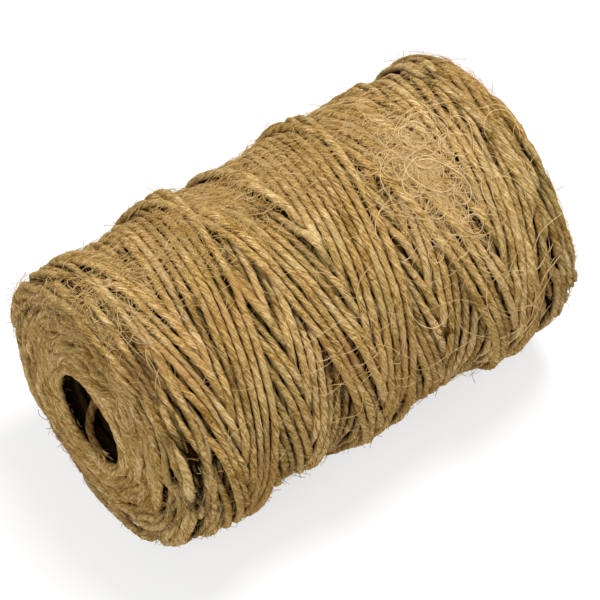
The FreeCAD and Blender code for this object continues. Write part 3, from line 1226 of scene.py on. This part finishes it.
def grow_fuzz(name, mesh, sizes):
    """Runs the fuzz nodes on a net and keeps only the fibres."""
    net = bpy.data.objects.new(name, mesh)
    bpy.context.scene.collection.objects.link(net)
    tree = bpy.data.node_groups.get("Fuzz") or fuzz_tree()
    modifier = net.modifiers.new("Fuzz", "NODES")
    modifier.node_group = tree
    sockets = {item.name: item.identifier for item in tree.interface.items_tree
               if item.in_out == "INPUT"}
    for label, value in sizes.items():
        modifier[sockets[label]] = value
    depsgraph = bpy.context.evaluated_depsgraph_get()
    fibres = bpy.data.meshes.new_from_object(net.evaluated_get(depsgraph), depsgraph=depsgraph)
    bpy.data.objects.remove(net)
    bpy.data.meshes.remove(mesh)
    points = np.empty(3 * len(fibres.vertices), np.float32)
    fibres.vertices.foreach_get("co", points)
    points = rest_on_ground(points.reshape(-1, 3), 0.05 * MM, 0.3 * MM)
    fibres.vertices.foreach_set("co", points.ravel())
    return piece_from(fibres, name, fibre_material())


class REEL_OT_fuzz(bpy.types.Operator):
    """Grows the short fuzz on the body and the end faces"""

    bl_idname = "reel.fuzz"
    bl_label = "Grow Short Fuzz"

    density: bpy.props.FloatProperty(
        name="Density", description="Fibres on each square metre", default=200000.0)
    length: bpy.props.FloatProperty(
        name="Length", description="Usual length of a fibre", default=2.4 * MM, unit="LENGTH")
    lift: bpy.props.FloatProperty(
        name="Lift", description="How far a fibre stands off", default=0.18 * MM, unit="LENGTH")
    thickness: bpy.props.FloatProperty(
        name="Thickness", description="Half the thickness of a fibre", default=0.05 * MM,
        unit="LENGTH")

    def execute(self, context):
        reel = wound_reel()
        reach = reel.outline.at_radius(BORE_RADIUS + 2.5 * MM)
        middle = 20 * MM
        edges = (-reach, -middle, middle, reach)
        for number, (low, high) in enumerate(zip(edges, edges[1:])):
            sizes = {"Density": self.density, "Length": self.length, "Lift": self.lift,
                     "Thickness": self.thickness, "Seed": number,
                     "Material": fibre_material()}
            name = f"fuzz_{number + 1}"
            fuzz = grow_fuzz(name, emitter_mesh(reel, low, high), sizes)
            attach(fuzz, WOUND)
        return {"FINISHED"}


def curl_route(reel, random, along, angle, length, curl, lift, step_length=0.75 * MM):
    """A curling line over the reel's surface from one place, as points and outwards."""
    count = max(5, int(length / step_length))
    bend = curl * (1.0 + 0.5 * smooth_noise(random, count, 8.0)) * random.choice((-1, 1))
    heading = random.uniform(0, TURN) + np.cumsum(bend) * length / count
    step = length / count
    path_along = along + np.cumsum(np.cos(heading)) * step
    path_angle = angle + np.cumsum(np.sin(heading)) * step / BODY_RADIUS
    limit = reel.outline.at_radius(BORE_RADIUS + 1.5 * MM)
    path_along = np.clip(path_along, -limit, limit)
    ground = running(reel.surface_at(path_along, path_angle % TURN), 3, np.max)
    ground = running(ground, 2, np.mean)
    rise = lift * (0.25 + 0.75 * np.sin(np.linspace(0.1, math.pi, count)))
    rise *= 1.0 + 0.35 * smooth_noise(random, count, 5.0)
    points, outward = reel.outline.place(path_along, path_angle, ground + rise)
    return rest_on_ground(points, 0.2 * MM, 0.5 * MM), outward


FELT = (
    # piece, middle along the reel and spread in mm, middle angle and spread in degrees, fibres,
    # length, curl radius and lift in mm, thickness as a share, shade (below 0 nearly black)
    ("felt_patch", 28.0, 5.0, 103.0, 17.0, 40, 20.0, 3.6, 0.7, 1.1, 1.15),
    ("felt_patch", 30.0, 3.5, 92.0, 10.0, 14, 26.0, 3.2, 1.0, 1.25, 1.25),
    ("felt_patch", 28.0, 5.0, 104.0, 17.0, 1300, 5.5, 8.0, 0.42, 0.85, 0.8),
    ("felt_patch", 35.0, 6.0, 160.0, 14.0, 26, 19.0, 9.0, 0.8, 1.0, 1.0),
    ("felt_near", -46.0, 8.0, 86.0, 13.0, 200, 8.0, 5.0, 0.32, 0.85, 0.75),
    ("felt_near", -6.0, 8.0, 70.0, 9.0, 150, 8.0, 5.0, 0.5, 0.9, 0.65),
    ("felt_near", -6.0, 5.0, 150.0, 16.0, 40, 13.0, 9.0, 0.5, 0.9, 0.8),
    ("felt_near", -30.0, 20.0, 78.0, 14.0, 200, 8.0, 6.0, 0.35, 0.85, 0.6),
    ("felt_top", 0.0, 27.0, 70.0, 16.0, 2300, 5.0, 6.0, 0.32, 0.75, 0.5),
    ("felt_knots", -8.0, 0.35, 84.0, 0.6, 16, 4.0, 0.6, 0.7, 1.3, -1.6),
    ("felt_knots", 17.0, 0.35, 165.0, 0.6, 14, 4.0, 0.6, 0.6, 1.3, -1.6),
    ("stray_fibres", 0.0, 45.0, 0.0, 360.0, 420, 8.0, 9.0, 0.24, 0.85, 0.8),
)


class REEL_OT_felt(bpy.types.Operator):
    """Lays the curly felted fibres and the strays"""

    bl_idname = "reel.felt"
    bl_label = "Lay Felted Fibres"

    radius: bpy.props.FloatProperty(
        name="Radius", description="Half the thickness of a fibre", default=0.085 * MM,
        unit="LENGTH")
    end_fibres: bpy.props.IntProperty(
        name="End Fibres", description="Fibres on each end face", default=620)
    mouth_fibres: bpy.props.IntProperty(
        name="Mouth Fibres", description="Fibres across each mouth of the bore", default=3)

    def execute(self, context):
        reel = wound_reel()
        random = np.random.default_rng(31)
        bins = {}
        for name, middle, spread, angle, fan, count, length, curl, lift, thick, shade in FELT:
            strands = bins.setdefault(name, Strands())
            for _ in range(count):
                along = (middle + spread * random.normal()) * MM
                turn = math.radians(angle + fan * random.normal())
                points, outward = curl_route(
                    reel, random, along, turn, length * MM * random.uniform(0.5, 1.4),
                    1.0 / (curl * MM * random.uniform(0.8, 1.5)),
                    lift * MM * random.uniform(0.3, 1.3))
                loose_fibre(strands, points, outward,
                            thick * self.radius * random.uniform(0.6, 1.15),
                            shade * random.uniform(0.6, 1.1))
        for side, name in ((-1, "felt_near_end"), (1, "felt_far_end")):
            bins[name] = Strands()
            self._felt_end(reel, random, bins[name], side)
            for _ in range(self.mouth_fibres):
                self._cross_mouth(random, bins[name], side)
        for name, strands in bins.items():
            felt = strands.build(name, fibre_material())
            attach(felt, WOUND)
        return {"FINISHED"}

    def _felt_end(self, reel, random, strands, side):
        """Lays short fibres all over one end face."""
        for _ in range(self.end_fibres):
            radius = random.uniform(BORE_RADIUS + 2 * MM, BODY_RADIUS - 3 * MM)
            points, outward = curl_route(
                reel, random, side * reel.outline.at_radius(radius), random.uniform(0, TURN),
                random.uniform(3, 8) * MM, random.uniform(90, 260),
                random.uniform(0.2, 0.6) * MM)
            loose_fibre(strands, points, outward, self.radius * random.uniform(0.5, 0.95),
                        random.uniform(-0.2, 0.9))

    def _cross_mouth(self, random, strands, side, count=20):
        """Draws one fibre from lip to lip over the upper part of a mouth, a little bowed."""
        start = random.uniform(0.3, 1.3)
        stop = start + random.uniform(0.8, 1.5)
        share = np.linspace(0, 1, count)
        lip = BORE_RADIUS + random.uniform(0.8, 2.2) * MM
        bow = random.uniform(-2.5, 2.5) * MM * np.sin(math.pi * share)
        bow += random.uniform(-0.8, 0.8) * MM * np.sin(TURN * share)
        middle = (start + stop) / 2
        y = lip * ((1 - share) * math.cos(start) + share * math.cos(stop))
        z = lip * ((1 - share) * math.sin(start) + share * math.sin(stop))
        x = side * (HALF_LENGTH - random.uniform(0.0, 1.2) * MM) * np.ones(count)
        points = np.stack([x, y + bow * math.cos(middle),
                           AXIS_HEIGHT + z + bow * math.sin(middle)], -1)
        loose_fibre(strands, points, np.tile((side, 0.0, 0.1), (count, 1)),
                    0.6 * self.radius, random.uniform(0.5, 1.0))


# ---------------------------------------------------------------- stage

class StageSettings(bpy.types.PropertyGroup):
    """Where the camera and the lamps stand."""

    azimuth: bpy.props.FloatProperty(
        name="Azimuth", description="Angle of the view round the reel",
        default=math.radians(-36.51), subtype="ANGLE")
    elevation: bpy.props.FloatProperty(
        name="Elevation", description="Angle of the view above the horizon",
        default=math.radians(53.11), subtype="ANGLE")
    distance: bpy.props.FloatProperty(
        name="Distance", description="From the camera to the reel's middle",
        default=1.17935, unit="LENGTH")
    lens: bpy.props.FloatProperty(
        name="Lens", description="Focal length", default=319.36, unit="CAMERA")
    aside: bpy.props.FloatProperty(
        name="Aside", description="Aim to the right of the middle", default=0.92 * MM,
        unit="LENGTH")
    below: bpy.props.FloatProperty(
        name="Below", description="Aim below the middle", default=0.39 * MM, unit="LENGTH")
    key: bpy.props.FloatProperty(
        name="Key", description="Power of the main lamp in watts", default=13.1)
    key_from: bpy.props.FloatVectorProperty(
        name="Key From", description="Direction from the reel to the main lamp", size=3,
        default=(0.24, 0.06, 0.87), subtype="XYZ")
    fill: bpy.props.FloatProperty(
        name="Fill", description="Power of the lamp at the near end in watts", default=5.4)
    fill_from: bpy.props.FloatVectorProperty(
        name="Fill From", description="Direction from the reel to the lamp at the near end",
        size=3, default=(-0.62, -0.35, 0.6), subtype="XYZ")
    ambient: bpy.props.FloatProperty(
        name="Ambient", description="Brightness of the light from all round", default=0.34)


def sight(azimuth, elevation):
    """Unit vector of a view from that azimuth and elevation."""
    flat = math.cos(elevation)
    return Vector((-math.sin(azimuth) * flat, math.cos(azimuth) * flat, -math.sin(elevation)))


def add_camera(settings):
    """The camera of the render, aimed near the reel's middle."""
    view = sight(settings.azimuth, settings.elevation)
    right = view.cross(Vector((0, 0, 1))).normalized()
    up = right.cross(view)
    target = Vector((0, 0, AXIS_HEIGHT)) + right * settings.aside - up * settings.below
    data = bpy.data.cameras.new("camera")
    data.lens = settings.lens
    data.sensor_width = 36.0
    data.clip_start, data.clip_end = 0.05, 20.0
    camera = bpy.data.objects.new("camera", data)
    camera.location = target - view * settings.distance
    camera.rotation_euler = view.to_track_quat("-Z", "Y").to_euler()
    bpy.context.scene.collection.objects.link(camera)
    bpy.context.scene.camera = camera


def grey(value):
    """An opaque grey, or white at 1."""
    return value, value, value, 1.0


def add_lamp(name, direction, size, power, colour, distance=1.2):
    """A square lamp that shines on the reel from one direction."""
    data = bpy.data.lights.new(name, "AREA")
    data.size = size
    data.energy = power
    data.color = colour
    lamp = bpy.data.objects.new(name, data)
    towards = Vector(direction).normalized()
    lamp.location = Vector((0, 0, AXIS_HEIGHT)) + towards * distance
    lamp.rotation_euler = (-towards).to_track_quat("-Z", "Y").to_euler()
    bpy.context.scene.collection.objects.link(lamp)


def floor_material():
    """Plain white that keeps the reel's shadow."""
    material, web = new_material("Floor")
    camera_ray = web.node("ShaderNodeLightPath", output="Is Camera Ray")
    plain = web.node("ShaderNodeBsdfPrincipled", values={
        "Base Color": grey(0.75), "Roughness": 0.9, "Specular IOR Level": 0.0})
    bright = web.node("ShaderNodeBsdfPrincipled", values={
        "Base Color": grey(0.32), "Roughness": 0.9, "Specular IOR Level": 0.0,
        "Emission Color": grey(1.0), "Emission Strength": 0.7})
    mixed = web.node("ShaderNodeMixShader", values={0: camera_ray, 1: plain, 2: bright})
    web.node("ShaderNodeOutputMaterial", values={"Surface": mixed})
    return material


def light_world(ambient):
    """Even light from all round; the world itself looks white."""
    world = bpy.data.worlds.new("world")
    world.use_nodes = True
    world.node_tree.nodes.clear()
    web = Web(world.node_tree)
    camera_ray = web.node("ShaderNodeLightPath", output="Is Camera Ray")
    even = web.node("ShaderNodeBackground", values={"Color": grey(1.0), "Strength": ambient})
    white = web.node("ShaderNodeBackground", values={"Color": grey(1.0), "Strength": 1.0})
    mixed = web.node("ShaderNodeMixShader", values={0: camera_ray, 1: even, 2: white})
    web.node("ShaderNodeOutputWorld", values={"Surface": mixed})
    bpy.context.scene.world = world


class REEL_OT_stage(bpy.types.Operator):
    """Sets up the floor, the light and the camera"""

    bl_idname = "reel.stage"
    bl_label = "Set Up Stage"

    def execute(self, context):
        settings = context.scene.reel_stage
        mesh = bpy.data.meshes.new("floor")
        reach = 4.0
        corners = [(x * reach, y * reach, 0) for x, y in ((-1, -1), (1, -1), (1, 1), (-1, 1))]
        mesh.from_pydata(corners, [], [(0, 1, 2, 3)])
        floor = piece_from(mesh, "floor", floor_material())
        light_world(settings.ambient)
        add_lamp("key", settings.key_from, 0.4, settings.key, (1.0, 0.985, 0.96))
        add_lamp("fill", settings.fill_from, 0.6, settings.fill, (1.0, 1.0, 1.0))
        add_camera(settings)
        context.scene.view_settings.view_transform = "Standard"
        return {"FINISHED"}


# ---------------------------------------------------------------- add-on

class REEL_PT_panel(bpy.types.Panel):
    """Buttons for each group of the reel's pieces"""

    bl_idname = "REEL_PT_panel"
    bl_label = "String Reel"
    bl_space_type = "VIEW_3D"
    bl_region_type = "UI"
    bl_category = "Reel"

    def draw(self, context):
        for operator in OPERATORS:
            self.layout.operator(operator.bl_idname)


GROUPS = {"reel_twine": TwineSettings, "reel_winding": WindingSettings,
          "reel_ends": EndSettings, "reel_finish": FinishSettings, "reel_stage": StageSettings}
OPERATORS = (REEL_OT_turns, REEL_OT_inner_courses, REEL_OT_bore_lining, REEL_OT_pull_end,
             REEL_OT_fuzz, REEL_OT_felt, REEL_OT_stage)


def register():
    """Adds the settings, the operators and the panel to Blender."""
    for group in GROUPS.values():
        bpy.utils.register_class(group)
    for operator in OPERATORS:
        bpy.utils.register_class(operator)
    bpy.utils.register_class(REEL_PT_panel)
    for name, group in GROUPS.items():
        setattr(bpy.types.Scene, name, bpy.props.PointerProperty(type=group))


def unregister():
    """Takes them away again."""
    for name in GROUPS:
        delattr(bpy.types.Scene, name)
    bpy.utils.unregister_class(REEL_PT_panel)
    for operator in reversed(OPERATORS):
        bpy.utils.unregister_class(operator)
    for group in GROUPS.values():
        bpy.utils.unregister_class(group)


def main():
    register()
    bpy.ops.reel.turns()
    bpy.ops.reel.inner_courses()
    bpy.ops.reel.bore_lining()
    bpy.ops.reel.pull_end()
    bpy.ops.reel.fuzz()
    bpy.ops.reel.felt()
    bpy.ops.reel.stage()


if __name__ == "__main__":
    main()
